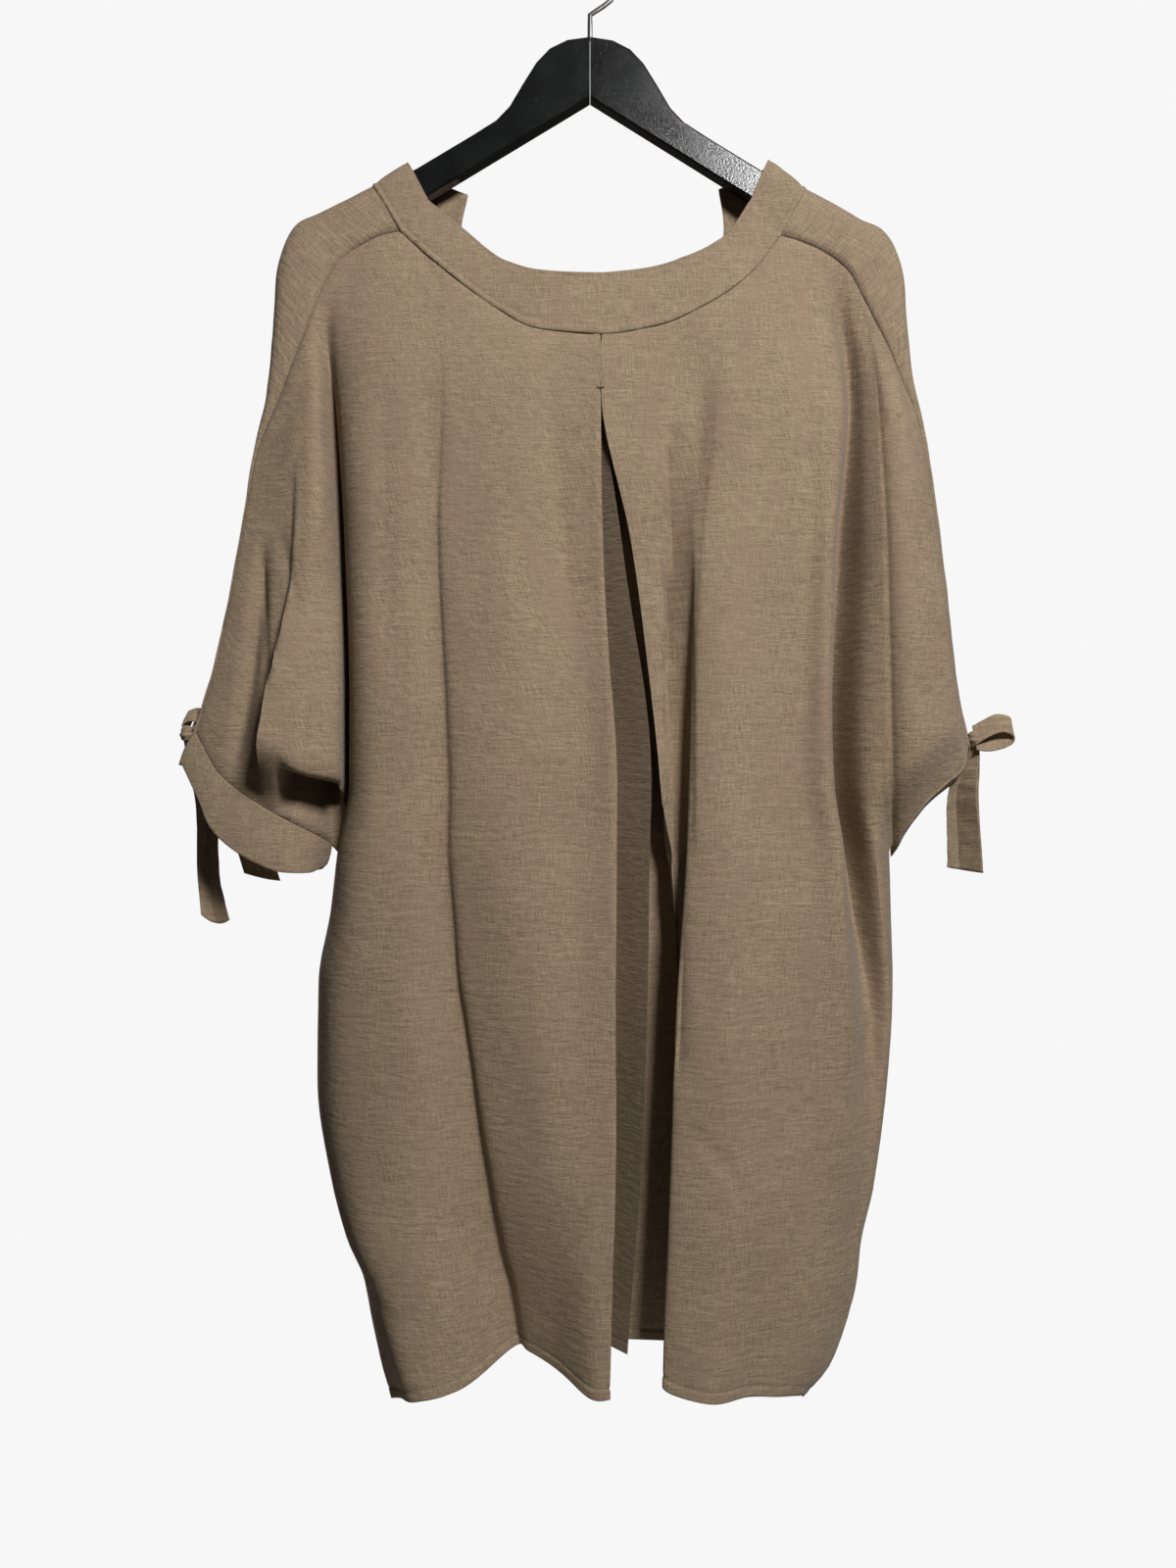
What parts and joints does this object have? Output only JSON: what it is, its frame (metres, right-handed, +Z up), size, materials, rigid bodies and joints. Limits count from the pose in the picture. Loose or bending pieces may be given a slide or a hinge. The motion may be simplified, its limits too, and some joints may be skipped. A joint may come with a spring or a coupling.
{
  "type": "tunic top on a hanger",
  "caption": "Loose linen tunic top with dolman sleeves, a wide round neckband, an inverted centre pleat and tied cuffs, hanging on a flat wooden hanger with a wire hook.",
  "frame": {"origin": "inner top of the hanger's hook, where it rests on its rod", "axes": "+X along the shoulders, to the right when seen from the pleated side; +Y away from the pleated side; +Z up"},
  "size_m": [0.6274, 0.1286, 1.0692],
  "materials": {
    "linen": "matt plain weave",
    "black_lacquer": "gloss",
    "polished_wire": "polished"
  },
  "bodies": {
    "root": {"hanger_arm_left": "black_lacquer", "hanger_arm_right": "black_lacquer", "hanger_hook": "polished_wire", "neckband_pleated": "linen", "neckband_plain": "linen", "panel_pleated": "linen", "panel_plain": "linen", "sleeve_top_left": "linen", "sleeve_top_right": "linen", "cuff_left": "linen", "cuff_right": "linen", "tie_left_knot": "linen", "tie_left_loop": "linen", "tie_left_tail_a": "linen", "tie_left_tail_b": "linen", "tie_right_knot": "linen", "tie_right_loop": "linen", "tie_right_tail_a": "linen", "tie_right_tail_b": "linen"}
  },
  "joints": []
}
